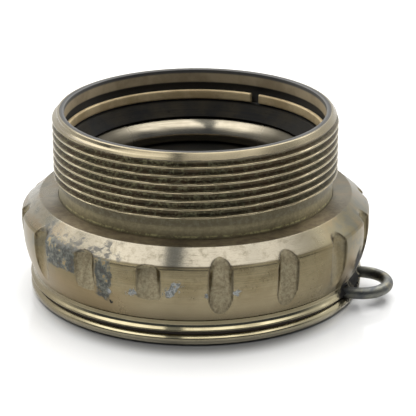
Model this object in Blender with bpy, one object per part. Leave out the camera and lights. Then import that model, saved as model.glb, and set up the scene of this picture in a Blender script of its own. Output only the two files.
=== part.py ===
"""Screw-mounted brass lens cell with a fluted grip collar and a swivelling lanyard ring.

Frame: +Z is the optical axis and points out of the threaded end. The origin is where that axis
crosses the seat shoulder, the face that pulls up against a camera flange. The cell stands on its
front bezel. Dimensions below are in millimetres, and MM turns them into Blender's metres.
"""
import math

import bmesh
import bpy
from mathutils import Matrix, Vector

MM = 0.001

# Heights along the axis, from the seat shoulder at zero.
RIM_Z = 11.5
BASE_Z = -13.0
COLLAR_FOOT_Z = -9.55
SWIVEL_TOP_Z = -9.8
SWIVEL_FOOT_Z = -12.85
TUBE_FOOT_Z = -11.4

# External thread of the barrel: 1 1/2 inch across its crests.
THREAD_RADIUS = 19.05
THREAD_ROOT_RADIUS = 18.4
THREAD_PITCH = 1.112
THREAD_TURNS = 7
THREAD_LOW_CREST_Z = 3.04
THREAD_CREST_WIDTH = 0.24
RIM_LAND_RADIUS = 18.29
LEAD_IN_Z = 10.61

# Bores of the barrel.
REAR_BORE_RADIUS = 17.44
RING_GROOVE_RADIUS = 17.9
RING_GROOVE_TOP_Z = 9.6
RING_GROOVE_FOOT_Z = 7.2
STOP_BORE_RADIUS = 14.0
STOP_LEDGE_TOP_Z = 1.1
STOP_LEDGE_FOOT_Z = -0.9
FRONT_BORE_RADIUS = 17.2

# Grip collar: a chamfer, then a flank that is an arc with its widest point at the belly.
COLLAR_BORE_RADIUS = 18.7
SHOULDER_RADIUS = 21.0
CHAMFER_FOOT_RADIUS = 23.1
CHAMFER_FOOT_Z = -1.8
BELLY_RADIUS = 23.45
BELLY_Z = -3.4
FLANK_ARC_RADIUS = 15.0
FLANK_TOP_Z = -2.3
FLANK_STEPS = 7
FLUTES = 16
FLUTE_FIRST_AZIMUTH = 7.6
FLUTE_CUTTER_RADIUS = 1.8
FLUTE_DEEP_RADIUS = 22.3
FLUTE_SHALLOW_RADIUS = 22.5
FLUTE_TOP_Z = 0.6
FLUTE_END_Z = -6.6

# Swivel ring: a plain band, a bead, a square groove and a wider bead down to the foot.
SWIVEL_BORE_RADIUS = 18.5
SWIVEL_RECESS_RADIUS = 19.9
SWIVEL_BAND_RADIUS = 22.1
BEAD_CREST_RADIUS = 22.5
UPPER_BEAD_TOP_Z = -10.4
UPPER_BEAD_FOOT_Z = -11.02
BEAD_GROOVE_RADIUS = 21.8
LOWER_BEAD_TOP_Z = -11.66
LOWER_BEAD_CREST_Z = -12.05
SWIVEL_FOOT_RADIUS = 22.25

# Wire eye and the two holes that it sits in.
EYE_AZIMUTH = 73.3
EYE_Z = -11.0
EYE_WIRE_RADIUS = 0.78
EYE_HALF_WIDTH = 3.92
EYE_BEND_CENTRE = 22.6
EYE_BEND_STEPS = 14
EYE_LEG_END = 20.3
EYE_HOLE_RADIUS = 0.95
EYE_HOLE_END = 20.0
EYE_DRILL_START = 26.0

# Loose rings above the stop ledge.
LOOSE_RADIUS = 17.1
SPRING_RING_BORE = 17.08
SPRING_RING_RADIUS = 17.62
SPRING_RING_TOP_Z = 8.97
SPRING_RING_FOOT_Z = 7.47
SPRING_GAP_AZIMUTH = 151.0
SPRING_GAP_WIDTH = 1.3
BAFFLE_TOP_Z = 7.1
BAFFLE_TOP_BORE = 16.95
BAFFLE_FOOT_Z = 5.35
BAFFLE_FOOT_BORE = 15.05
SEAT_TOP_Z = 5.05
SEAT_TOP_BORE = 15.1
SEAT_CONE_FOOT_Z = 3.3
SEAT_FOOT_Z = 2.3
SEAT_BORE = 13.3
STOP_TOP_Z = 2.0
STOP_FOOT_Z = 1.4
STOP_APERTURE = 9.0

# Glass and its rings below the stop ledge.
GLASS_RADIUS = 16.9
FLINT_TOP_Z = -1.2
FLINT_EDGE_Z = -4.4
FLINT_HOLLOW_RADIUS = 15.5
FLINT_HOLLOW_Z = -2.4
SPACER_BORE = 15.6
SPACER_TOP_Z = -4.7
SPACER_FOOT_Z = -5.5
CROWN_TOP_Z = -3.8
CROWN_UPPER_EDGE_Z = -6.2
CROWN_LOWER_EDGE_Z = -8.0
CROWN_FOOT_Z = -10.0
RETAINER_BORE = 15.5
RETAINER_TOP_Z = -8.65
RETAINER_FOOT_Z = -9.6
SPANNER_AZIMUTH = 4.5
SPANNER_SLOT_WIDTH = 1.4
SPANNER_SLOT_DEPTH = 0.7
BEZEL_SLEEVE_RADIUS = 16.9
BEZEL_BORE = 15.6
BEZEL_TOP_Z = -9.95
BEZEL_FLANGE_Z = -11.7
BEZEL_FLANGE_RADIUS = 19.6
BEZEL_CONE_TOP_Z = -12.0
BEZEL_CONE_FOOT_RADIUS = 16.6
BEZEL_EDGE_BREAK = 0.2

COLLAR_SEGMENTS = 64
BARREL_SEGMENTS = 48
INNER_SEGMENTS = 40


def clear_scene():
    for thing in list(bpy.data.objects):
        bpy.data.objects.remove(thing)


def finish(name, colour, roughness, metallic=1.0):
    """A plain Principled material in the piece's own colour."""
    material = bpy.data.materials.new(name)
    material.use_nodes = True
    shader = material.node_tree.nodes["Principled BSDF"]
    shader.inputs["Base Color"].default_value = (*colour, 1.0)
    shader.inputs["Roughness"].default_value = roughness
    shader.inputs["Metallic"].default_value = metallic
    return material


def glass(name, colour):
    material = finish(name, colour, 0.03, 0.0)
    shader = material.node_tree.nodes["Principled BSDF"]
    shader.inputs["Transmission Weight"].default_value = 1.0
    shader.inputs["IOR"].default_value = 1.52
    return material


def place(name, mesh, material):
    mesh.materials.append(material)
    thing = bpy.data.objects.new(name, mesh)
    bpy.context.scene.collection.objects.link(thing)
    return thing


def turned(name, outline, segments, material):
    """Turns a closed outline of (radius, height) points about Z. A radius of zero is a pole."""
    shape = bmesh.new()
    columns = []
    for radius, height in outline:
        if radius == 0:
            columns.append([shape.verts.new((0, 0, height * MM))] * segments)
            continue
        column = []
        for step in range(segments):
            turn = 2 * math.pi * step / segments
            point = (radius * MM * math.sin(turn), -radius * MM * math.cos(turn), height * MM)
            column.append(shape.verts.new(point))
        columns.append(column)
    for upper, lower in zip(columns, columns[1:] + columns[:1]):
        for step in range(segments):
            ahead = (step + 1) % segments
            corners = [upper[step], lower[step], lower[ahead], upper[ahead]]
            corners = list(dict.fromkeys(corners))
            if len(corners) > 2:
                shape.faces.new(corners)
    bmesh.ops.recalc_face_normals(shape, faces=shape.faces)
    mesh = bpy.data.meshes.new(name)
    shape.to_mesh(mesh)
    shape.free()
    mesh.shade_smooth()
    mesh.set_sharp_from_angle(angle=math.radians(28))
    return place(name, mesh, material)


def bullet(shape, radius, start, end, sides=16, rings=4):
    """Adds a closed rod to a bmesh, flat at its start and round at its end."""
    axis = (end - start).normalized()
    across = axis.orthogonal().normalized()
    beside = axis.cross(across)
    stations = [(start, radius)]
    for ring in range(rings):
        rise = 0.5 * math.pi * ring / rings
        stations.append((end + axis * radius * math.sin(rise), radius * math.cos(rise)))
    columns = []
    for centre, reach in stations:
        column = []
        for side in range(sides):
            turn = 2 * math.pi * side / sides
            offset = across * math.cos(turn) + beside * math.sin(turn)
            column.append(shape.verts.new(centre + offset * reach))
        columns.append(column)
    tip = shape.verts.new(end + axis * radius)
    shape.faces.new(columns[0])
    for lower, upper in zip(columns, columns[1:]):
        for side in range(sides):
            ahead = (side + 1) % sides
            shape.faces.new((lower[side], upper[side], upper[ahead], lower[ahead]))
    for side in range(sides):
        shape.faces.new((columns[-1][side], tip, columns[-1][(side + 1) % sides]))


def cutter(name, shape):
    """A hidden cutting tool made from a bmesh."""
    bmesh.ops.recalc_face_normals(shape, faces=shape.faces)
    mesh = bpy.data.meshes.new(name)
    shape.to_mesh(mesh)
    shape.free()
    tool = bpy.data.objects.new(name, mesh)
    bpy.context.scene.collection.objects.link(tool)
    tool.hide_render = True
    tool.display_type = "WIRE"
    return tool


def cut(piece, tool):
    step = piece.modifiers.new("cut_" + tool.name, "BOOLEAN")
    step.operation = "DIFFERENCE"
    step.solver = "EXACT"
    step.object = tool


def outward(azimuth, radius, height):
    """A point at an azimuth measured from -Y towards +X."""
    turn = math.radians(azimuth)
    return Vector((radius * math.sin(turn), -radius * math.cos(turn), height)) * MM


def block(shape, azimuth, centre_radius, height, size):
    """Adds a box to a bmesh: size is its depth along the radius, its width and its height."""
    turn = Matrix.Rotation(math.radians(azimuth - 90), 4, "Z")
    move = Matrix.Translation(outward(azimuth, centre_radius, height))
    stretch = Matrix.Diagonal((size[0] * MM, size[1] * MM, size[2] * MM, 1))
    bmesh.ops.create_cube(shape, size=1.0, matrix=move @ turn @ stretch)


def arc_of_lens(vertex_z, edge_z, edge_radius, steps):
    """Points of a spherical face from its edge to its vertex on the axis."""
    sag = vertex_z - edge_z
    curvature_radius = (edge_radius ** 2 + sag ** 2) / (2 * abs(sag))
    points = []
    for step in range(steps):
        radius = edge_radius * (1 - step / steps)
        drop = curvature_radius - math.sqrt(curvature_radius ** 2 - radius ** 2)
        points.append((radius, vertex_z - math.copysign(drop, sag)))
    points.append((0, vertex_z))
    return points


def flank_radius(height):
    """Outer radius of the grip collar's flank at a height."""
    return BELLY_RADIUS - FLANK_ARC_RADIUS + math.sqrt(FLANK_ARC_RADIUS ** 2 - (height - BELLY_Z) ** 2)


def half_round(top_z, foot_z, base_radius, crest_radius, steps):
    """Points down a half-round bead, from its top to its foot."""
    middle = (top_z + foot_z) / 2
    points = []
    for step in range(steps + 1):
        turn = math.pi * step / steps
        reach = base_radius + (crest_radius - base_radius) * math.sin(turn)
        points.append((reach, middle + (top_z - middle) * math.cos(turn)))
    return points


def make_barrel():
    outline = [
        (REAR_BORE_RADIUS, RIM_Z),
        (RIM_LAND_RADIUS, RIM_Z),
        (THREAD_RADIUS, LEAD_IN_Z),
    ]
    half_crest = THREAD_CREST_WIDTH / 2
    for turn in reversed(range(THREAD_TURNS)):
        crest_z = THREAD_LOW_CREST_Z + turn * THREAD_PITCH
        outline.append((THREAD_ROOT_RADIUS, crest_z + THREAD_PITCH / 2))
        outline.append((THREAD_RADIUS, crest_z + half_crest))
        outline.append((THREAD_RADIUS, crest_z - half_crest))
    outline += [
        (THREAD_ROOT_RADIUS, THREAD_LOW_CREST_Z - THREAD_PITCH / 2),
        (THREAD_ROOT_RADIUS, TUBE_FOOT_Z),
        (FRONT_BORE_RADIUS, TUBE_FOOT_Z),
        (FRONT_BORE_RADIUS, STOP_LEDGE_FOOT_Z),
        (STOP_BORE_RADIUS, STOP_LEDGE_FOOT_Z),
        (STOP_BORE_RADIUS, STOP_LEDGE_TOP_Z),
        (REAR_BORE_RADIUS, STOP_LEDGE_TOP_Z),
        (REAR_BORE_RADIUS, RING_GROOVE_FOOT_Z),
        (RING_GROOVE_RADIUS, RING_GROOVE_FOOT_Z),
        (RING_GROOVE_RADIUS, RING_GROOVE_TOP_Z),
        (REAR_BORE_RADIUS, RING_GROOVE_TOP_Z),
    ]
    metal = finish("worn_brass_thread", (0.27, 0.22, 0.13), 0.38)
    return turned("threaded_barrel", outline, BARREL_SEGMENTS, metal)


def make_collar():
    outline = [
        (COLLAR_BORE_RADIUS, 0),
        (SHOULDER_RADIUS, 0),
        (CHAMFER_FOOT_RADIUS, CHAMFER_FOOT_Z),
    ]
    for step in range(FLANK_STEPS + 1):
        height = FLANK_TOP_Z + (COLLAR_FOOT_Z - FLANK_TOP_Z) * step / FLANK_STEPS
        outline.append((flank_radius(height), height))
    outline.append((COLLAR_BORE_RADIUS, COLLAR_FOOT_Z))
    metal = finish("worn_brass_grip", (0.36, 0.3, 0.2), 0.4)
    collar = turned("grip_collar", outline, COLLAR_SEGMENTS, metal)
    tools = bmesh.new()
    for flute in range(FLUTES):
        azimuth = FLUTE_FIRST_AZIMUTH + 360 * flute / FLUTES
        start = outward(azimuth, FLUTE_DEEP_RADIUS + FLUTE_CUTTER_RADIUS, FLUTE_TOP_Z)
        end = outward(azimuth, FLUTE_SHALLOW_RADIUS + FLUTE_CUTTER_RADIUS, FLUTE_END_Z)
        bullet(tools, FLUTE_CUTTER_RADIUS * MM, start, end)
    cut(collar, cutter("flute_cutters", tools))
    return collar


def make_swivel_ring():
    outline = [
        (SWIVEL_BORE_RADIUS, SWIVEL_TOP_Z),
        (SWIVEL_BAND_RADIUS, SWIVEL_TOP_Z),
    ]
    outline += half_round(
        UPPER_BEAD_TOP_Z, UPPER_BEAD_FOOT_Z, SWIVEL_BAND_RADIUS, BEAD_CREST_RADIUS, 4
    )
    outline += [
        (BEAD_GROOVE_RADIUS, UPPER_BEAD_FOOT_Z),
        (BEAD_GROOVE_RADIUS, LOWER_BEAD_TOP_Z),
        (SWIVEL_FOOT_RADIUS, LOWER_BEAD_TOP_Z),
        (BEAD_CREST_RADIUS, LOWER_BEAD_CREST_Z),
        (SWIVEL_FOOT_RADIUS, SWIVEL_FOOT_Z),
        (SWIVEL_RECESS_RADIUS, SWIVEL_FOOT_Z),
        (SWIVEL_RECESS_RADIUS, TUBE_FOOT_Z),
        (SWIVEL_BORE_RADIUS, TUBE_FOOT_Z),
    ]
    metal = finish("worn_brass_beads", (0.4, 0.33, 0.2), 0.33)
    ring = turned("swivel_ring", outline, COLLAR_SEGMENTS, metal)
    out = outward(EYE_AZIMUTH, 1.0, 0) / MM
    beside = Vector((-out.y, out.x, 0))
    depth = (EYE_DRILL_START - EYE_HOLE_END) * MM
    aim = out.to_track_quat("Z", "Y").to_matrix().to_4x4()
    tools = bmesh.new()
    for side in (-1, 1):
        middle = out * (EYE_DRILL_START + EYE_HOLE_END) / 2
        middle += beside * side * EYE_HALF_WIDTH
        middle.z = EYE_Z
        drill = Matrix.Translation(middle * MM) @ aim
        radius = EYE_HOLE_RADIUS * MM
        bmesh.ops.create_cone(
            tools, cap_ends=True, segments=16, radius1=radius, radius2=radius, depth=depth, matrix=drill
        )
    cut(ring, cutter("eye_hole_cutters", tools))
    return ring


def make_eye(parent):
    """A U of round wire whose two legs go into the swivel ring."""
    out = outward(EYE_AZIMUTH, 1.0, 0) / MM
    beside = Vector((-out.y, out.x, 0))
    rise = Vector((0, 0, EYE_Z))
    leg = [EYE_LEG_END, (EYE_LEG_END + EYE_BEND_CENTRE) / 2]
    points = [(distance, -EYE_HALF_WIDTH) for distance in leg]
    for step in range(EYE_BEND_STEPS + 1):
        turn = math.pi * step / EYE_BEND_STEPS
        reach = EYE_BEND_CENTRE + EYE_HALF_WIDTH * math.sin(turn)
        points.append((reach, -EYE_HALF_WIDTH * math.cos(turn)))
    points += [(distance, EYE_HALF_WIDTH) for distance in reversed(leg)]
    curve = bpy.data.curves.new("lanyard_eye", "CURVE")
    curve.dimensions = "3D"
    curve.bevel_depth = EYE_WIRE_RADIUS * MM
    curve.bevel_resolution = 3
    curve.use_fill_caps = True
    spline = curve.splines.new("POLY")
    spline.points.add(len(points) - 1)
    for knot, (distance, offset) in zip(spline.points, points):
        place_mm = out * distance + beside * offset + rise
        knot.co = (*(place_mm * MM), 1)
    curve.materials.append(finish("dark_steel_wire", (0.09, 0.09, 0.075), 0.42))
    eye = bpy.data.objects.new("lanyard_eye", curve)
    bpy.context.scene.collection.objects.link(eye)
    eye.parent = parent
    return eye


def band(bore, radius, top_z, foot_z):
    """Outline of a plain flat ring."""
    return [(bore, top_z), (radius, top_z), (radius, foot_z), (bore, foot_z)]


def make_spring_ring():
    outline = band(SPRING_RING_BORE, SPRING_RING_RADIUS, SPRING_RING_TOP_Z, SPRING_RING_FOOT_Z)
    metal = finish("brass_spring_ring", (0.3, 0.23, 0.12), 0.45)
    ring = turned("spring_ring", outline, INNER_SEGMENTS, metal)
    wall = SPRING_RING_RADIUS - SPRING_RING_BORE
    height = SPRING_RING_TOP_Z - SPRING_RING_FOOT_Z
    middle = (SPRING_RING_TOP_Z + SPRING_RING_FOOT_Z) / 2
    tools = bmesh.new()
    block(tools, SPRING_GAP_AZIMUTH, SPRING_RING_BORE, middle, (4 * wall, SPRING_GAP_WIDTH, 2 * height))
    cut(ring, cutter("ring_gap_cutter", tools))
    return ring


def make_baffle_ring():
    outline = [
        (BAFFLE_TOP_BORE, BAFFLE_TOP_Z),
        (LOOSE_RADIUS, BAFFLE_TOP_Z),
        (LOOSE_RADIUS, BAFFLE_FOOT_Z),
        (BAFFLE_FOOT_BORE, BAFFLE_FOOT_Z),
    ]
    black = finish("blackened_brass_baffle", (0.03, 0.03, 0.028), 0.6)
    return turned("baffle_ring", outline, INNER_SEGMENTS, black)


def make_seat_ring():
    outline = [
        (SEAT_TOP_BORE, SEAT_TOP_Z),
        (LOOSE_RADIUS, SEAT_TOP_Z),
        (LOOSE_RADIUS, SEAT_FOOT_Z),
        (SEAT_BORE, SEAT_FOOT_Z),
        (SEAT_BORE, SEAT_CONE_FOOT_Z),
    ]
    metal = finish("polished_brass_seat", (0.52, 0.43, 0.27), 0.22)
    return turned("seat_ring", outline, INNER_SEGMENTS, metal)


def make_stop_plate():
    outline = band(STOP_APERTURE, LOOSE_RADIUS, STOP_TOP_Z, STOP_FOOT_Z)
    black = finish("blackened_stop", (0.02, 0.02, 0.02), 0.7)
    return turned("stop_plate", outline, INNER_SEGMENTS, black)


def make_rear_flint():
    outline = [(0, FLINT_TOP_Z), (GLASS_RADIUS, FLINT_TOP_Z), (GLASS_RADIUS, FLINT_EDGE_Z)]
    outline += arc_of_lens(FLINT_HOLLOW_Z, FLINT_EDGE_Z, FLINT_HOLLOW_RADIUS, 5)
    return turned("rear_flint", outline, INNER_SEGMENTS, glass("flint_glass", (0.93, 0.95, 0.92)))


def make_spacer_ring():
    outline = band(SPACER_BORE, GLASS_RADIUS, SPACER_TOP_Z, SPACER_FOOT_Z)
    black = finish("blackened_spacer", (0.04, 0.04, 0.035), 0.6)
    return turned("spacer_ring", outline, INNER_SEGMENTS, black)


def make_front_crown():
    back = arc_of_lens(CROWN_TOP_Z, CROWN_UPPER_EDGE_Z, GLASS_RADIUS, 5)
    front = arc_of_lens(CROWN_FOOT_Z, CROWN_LOWER_EDGE_Z, GLASS_RADIUS, 5)
    outline = list(reversed(back)) + front
    return turned("front_crown", outline, INNER_SEGMENTS, glass("crown_glass", (0.93, 0.96, 0.95)))


def make_retaining_ring():
    outline = band(RETAINER_BORE, GLASS_RADIUS, RETAINER_TOP_Z, RETAINER_FOOT_Z)
    metal = finish("brass_retaining_ring", (0.2, 0.17, 0.1), 0.45)
    ring = turned("retaining_ring", outline, INNER_SEGMENTS, metal)
    middle = (RETAINER_BORE + GLASS_RADIUS) / 2
    slot = (2 * (GLASS_RADIUS - RETAINER_BORE), SPANNER_SLOT_WIDTH, 2 * SPANNER_SLOT_DEPTH)
    tools = bmesh.new()
    for azimuth in (SPANNER_AZIMUTH, SPANNER_AZIMUTH + 180):
        block(tools, azimuth, middle, RETAINER_FOOT_Z, slot)
    cut(ring, cutter("spanner_slot_cutters", tools))
    return ring


def make_front_bezel():
    outline = [
        (BEZEL_BORE, BEZEL_TOP_Z),
        (BEZEL_SLEEVE_RADIUS, BEZEL_TOP_Z),
        (BEZEL_SLEEVE_RADIUS, BEZEL_FLANGE_Z),
        (BEZEL_FLANGE_RADIUS, BEZEL_FLANGE_Z),
        (BEZEL_FLANGE_RADIUS, BASE_Z + BEZEL_EDGE_BREAK),
        (BEZEL_FLANGE_RADIUS - BEZEL_EDGE_BREAK, BASE_Z),
        (BEZEL_CONE_FOOT_RADIUS, BASE_Z),
        (BEZEL_BORE, BEZEL_CONE_TOP_Z),
    ]
    metal = finish("brass_front_bezel", (0.36, 0.3, 0.18), 0.36)
    return turned("front_bezel", outline, INNER_SEGMENTS, metal)


clear_scene()
make_barrel()
make_collar()
swivel = make_swivel_ring()
make_eye(swivel)
make_spring_ring()
make_baffle_ring()
make_seat_ring()
make_stop_plate()
make_rear_flint()
make_spacer_ring()
make_front_crown()
make_retaining_ring()
make_front_bezel()
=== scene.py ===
"""Looks of the brass screw-mount lens cell: fine meshes round the CAD frame, worn metal, studio light.

Every piece is turned about the optical axis, +Z. Lengths named below are in millimetres, and MM
turns them into metres. Azimuths are in degrees, from -Y, the viewer's side, towards +X.
"""
import math

import bmesh
import bpy
import numpy as np
from mathutils import Matrix, Vector


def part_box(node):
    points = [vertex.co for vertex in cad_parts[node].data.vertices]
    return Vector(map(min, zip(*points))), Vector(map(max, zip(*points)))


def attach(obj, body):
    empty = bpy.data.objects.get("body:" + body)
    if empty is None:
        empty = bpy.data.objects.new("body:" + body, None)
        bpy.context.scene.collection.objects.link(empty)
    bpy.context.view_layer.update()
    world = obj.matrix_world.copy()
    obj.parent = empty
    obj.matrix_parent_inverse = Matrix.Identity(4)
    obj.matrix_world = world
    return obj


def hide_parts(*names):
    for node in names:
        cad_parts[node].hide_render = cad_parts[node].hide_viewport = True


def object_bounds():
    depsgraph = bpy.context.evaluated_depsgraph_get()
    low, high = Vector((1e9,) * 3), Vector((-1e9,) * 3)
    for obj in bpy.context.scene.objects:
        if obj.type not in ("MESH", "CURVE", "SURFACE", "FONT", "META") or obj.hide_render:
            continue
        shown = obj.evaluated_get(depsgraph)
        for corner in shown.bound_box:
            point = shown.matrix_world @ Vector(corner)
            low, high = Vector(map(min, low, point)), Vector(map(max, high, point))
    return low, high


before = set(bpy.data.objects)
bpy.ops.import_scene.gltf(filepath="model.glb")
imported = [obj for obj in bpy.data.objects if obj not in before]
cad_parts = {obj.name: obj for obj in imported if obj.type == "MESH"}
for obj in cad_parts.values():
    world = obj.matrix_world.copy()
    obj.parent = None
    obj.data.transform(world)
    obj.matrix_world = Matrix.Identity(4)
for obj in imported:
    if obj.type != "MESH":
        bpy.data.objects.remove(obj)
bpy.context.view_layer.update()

MM = 0.001

# Faces round the axis, and the longest step along an outline where the shape is fine.
BARREL_COLUMNS = 360
COLLAR_COLUMNS = 800
RING_COLUMNS = 360
INNER_COLUMNS = 240
BRIGHT_COLUMNS = 288
GLASS_COLUMNS = 192
THREAD_STEP = 0.06
FLUTE_STEP = 0.14
ROD_SIDES = 32
WIRE_SIDES = 28

# Thread of the barrel. The shares are half widths of the crest and of the rising flank, in pitches.
THREAD_PITCH = 1.112
THREAD_CREST_Z = 9.71
THREAD_ROOT_RADIUS = 18.4
THREAD_CREST_SHARE = 0.07
THREAD_ROOT_SHARE = 0.34
THREAD_RELIEF_Z = 2.45
THREAD_RELIEF_SLOPE = 1.5
RIM_LAND_RADIUS = 18.29
LEAD_IN_Z = 10.61

# Stepped bore of the barrel, with the spring ring's groove and the bridge that carries the seat.
BORE = 17.44
GROOVE_RADIUS = 17.9
GROOVE_TOP_Z = 9.6
GROOVE_FOOT_Z = 7.2
BRIDGE_BORE = 14.0
BRIDGE_TOP_Z = 1.1
BRIDGE_FOOT_Z = -0.9
LOWER_BORE = 17.2
# Turned surfaces inside this radius belong to the bore.
BORE_SIDE_RADIUS = 18.1

# Grip collar.
CHAMFER_TOP_RADIUS = 21.0
CHAMFER_FOOT_RADIUS = 23.15
CHAMFER_FOOT_Z = -1.85
BELLY_Z = -3.4
FLANK_ARC_RADIUS = 15.0
FLUTES = 16
FLUTE_FIRST_AZIMUTH = 7.6
FLUTE_HALF_WIDTH = 1.56
FLUTE_END = 2.2
FLUTE_FOOT_END = 3.2
FLUTE_TOP_Z = -0.95
FLUTE_FOOT_Z = -8.5
FLUTE_FLOOR = 22.1
FLUTE_FOOT_FLOOR = 22.5
FLUTE_CROWN = 0.3
# Two flutes at the left start lower and run out towards the foot: their number, then their top,
# their foot and the radius of the floor at the foot.
SHALLOW_FLUTES = {14: (-1.5, -8.0, 23.1), 15: (-1.8, -8.2, 23.2)}
SHALLOW_END = 0.9
COLLAR_BORE = 18.45
PARTING_GAP = 0.09

# Grey stain at the collar's left: the azimuths and heights between which each part of it lies.
STAIN_PATCH = ((-57.0, -41.0), (-5.0, -1.5))
STAIN_STRIP = ((-33.0, -28.0), (-7.0, -1.9))
STAIN_CHAMFER = ((-62.0, -24.0), (-1.8, -0.1))

# White crusts on the collar's flank: azimuth, height and reach.
CRUSTS = [
    (-20.2, -5.8, 0.45),
    (-7.6, -5.0, 0.75),
    (-5.8, -4.1, 0.45),
    (12.6, -5.5, 0.4),
    (3.3, -5.8, 0.3),
    (-28.6, -6.2, 0.4),
]

# Black nick under the stain, and painted black shadow and reflection of the wire eye on the collar beside
# it, in the same form.
NICK = (-28.0, -7.8, 0.35)
EYE_SHADOW_REFLECTION = [(70.0, -7.6, 1.7), (67.0, -6.2, 0.9), (60.5, -9.5, 1.2), (80.0, -8.0, 1.9)]
# Black of the painted shadow and reflection round the wire eye.
PAINTED_SHADE_BLACK = (0.005, 0.005, 0.007)
# Scale, detail and roughness of the noise that makes the edges of stains and painted shadows ragged.
RAGGED = (420.0, 5.0, 0.7)
# Radii at which the centres of these spots lie on the collar's flank and on the swivel ring.
FLANK_SPOT_RADIUS = 23.0
RING_SPOT_RADIUS = 22.2

# Swivel ring: neck, upper bead, valley, lower bead and stepped bore.
SWIVEL_NECK = 22.02
SWIVEL_BORE = 18.5
SWIVEL_STEP_BORE = 19.9
SWIVEL_STEP_Z = -11.4
UPPER_BEAD_Z = -10.86
VALLEY_RADIUS = 21.85
VALLEY_TOP_Z = -11.1
VALLEY_FOOT_Z = -11.56
LOWER_BEAD_TOP_Z = -11.94
LOWER_BEAD_FOOT_Z = -12.4

# Painted contact shadow: soft darkening of the floor where the part stands on it.
CONTACT_SHADOW_SHIFT = 4.0
CONTACT_SHADOW_INNER = 18.9
CONTACT_SHADOW_OUTER = 22.5

# Glasses: the flint's hollow and the two edges of the crown.
FLINT_HOLLOW_Z = -2.4
CROWN_UPPER_EDGE_Z = -6.2
CROWN_LOWER_EDGE_Z = -8.0

# Spring ring: it sits a little lower than its solid, and its ends leave a gap at the back.
SPRING_BORE = 17.08
SPRING_TOP_DROP = 0.35
SPRING_FOOT_DROP = 0.2
SPLIT_AZIMUTH = 151.0
SPLIT_Z = 8.2
SPLIT_SIZE = (3.0, 1.3, 4.0)

# Baffle cone and polished seat ring, whose cone bulges a little.
BAFFLE_TOP_BORE = 16.95
BAFFLE_FOOT_BORE = 15.05
SEAT_BORE = 13.3
SEAT_FLARE = 1.8
SEAT_LIP_Z = 3.3
SEAT_BULGE = 0.2

# Pieces under the seat.
APERTURE_RADIUS = 9.0
SPACER_BORE = 15.6
RETAINER_BORE = 15.5
SLOT_AZIMUTHS = (4.5, 184.5)
SLOT_RADIUS = 16.2
SLOT_SIZE = (2.8, 1.4, 1.4)
BEZEL_BORE = 15.6
BEZEL_NECK = 16.9
BEZEL_FLANGE_Z = -11.7
BEZEL_FOOT_BORE = 16.6
BEZEL_BEVEL_Z = -12.0

# Wire eye.
EYE_AZIMUTH = 73.3
EYE_Z = -11.0
EYE_WIRE_RADIUS = 0.78
EYE_HALF_WIDTH = 3.7
EYE_BEND_CENTRE = 22.85
EYE_LEG_END = 20.3
EYE_HOLE_RADIUS = 0.95
EYE_HOLE_END = 20.0
EYE_HOLE_MOUTH = 26.0
# Painted shadow on the swivel ring where the legs go in: azimuth, height and reach.
LEG_SHADOW = [
    (EYE_AZIMUTH - 10.5, EYE_Z + 0.4, 1.5),
    (EYE_AZIMUTH + 9.0, EYE_Z + 0.8, 1.6),
    (EYE_AZIMUTH, EYE_Z + 0.5, 2.6),
]
# A softer painted shadow beside the legs.
LEG_SOFT_SHADOW = (EYE_AZIMUTH - 13.5, EYE_Z + 0.1, 1.1)

# Camera, fitted to the photograph: metres, radians, and millimetres for the lens.
CAMERA_PLACE = (0, -0.25077, 0.0927)
CAMERA_PITCH = 0.3637
CAMERA_YAW = 0.0072
CAMERA_ROLL = 0.0016
CAMERA_LENS = 171.56
CAMERA_SENSOR = 36.0
FLOOR_SIZE = 6.0

# Light of the studio: soft boxes, the gaps between them, walls before and behind, and a strip.
BOX_LIGHT = (3.2, 3.17, 3.1)
GAP_LIGHT = (0.55, 0.58, 0.6)
FRONT_LIGHT = (0.1, 0.115, 0.14)
BACK_LIGHT = (1.15, 1.15, 1.13)
STRIP_LIGHT = (4.6, 4.6, 4.6)


# ---------------------------------------------------------------- meshes

def extent(node):
    """Outer radius, top and foot of a turned CAD node, in millimetres."""
    low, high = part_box(node)
    return -low.x / MM, high.z / MM, low.z / MM


def outward(azimuth, radius, height):
    turn = math.radians(azimuth)
    return Vector((radius * math.sin(turn), -radius * math.cos(turn), height)) * MM


def rounded(corners, step):
    """Closed outline from (radius, height, fillet) corners: corners rounded, long runs divided."""
    points = []
    count = len(corners)
    for index, (radius, height, fillet) in enumerate(corners):
        here = np.array((radius, height), float)
        back = np.array(corners[index - 1][:2], float) - here
        ahead = np.array(corners[(index + 1) % count][:2], float) - here
        reach = min(fillet, 0.45 * np.hypot(*back), 0.45 * np.hypot(*ahead))
        if reach <= 0:
            points.append(here)
            continue
        start = here + back / np.hypot(*back) * reach
        end = here + ahead / np.hypot(*ahead) * reach
        for share in np.linspace(0, 1, 5):
            points.append((1 - share) ** 2 * start + 2 * share * (1 - share) * here + share ** 2 * end)
    outline = []
    for here, ahead in zip(points, points[1:] + points[:1]):
        run = np.hypot(*(ahead - here))
        parts = math.ceil(run / step - 1e-6)
        for part in range(parts):
            outline.append(here + (ahead - here) * part / parts)
    return np.array(outline)


def divided(coarse, step, fine):
    """Divides the runs of an outline for which fine(start, end) holds into steps of this length."""
    outline = []
    for here, ahead in zip(coarse, np.roll(coarse, -1, axis=0)):
        parts = max(1, math.ceil(np.hypot(*(ahead - here)) / step)) if fine(here, ahead) else 1
        for part in range(parts):
            outline.append(here + (ahead - here) * part / parts)
    return outline


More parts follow.
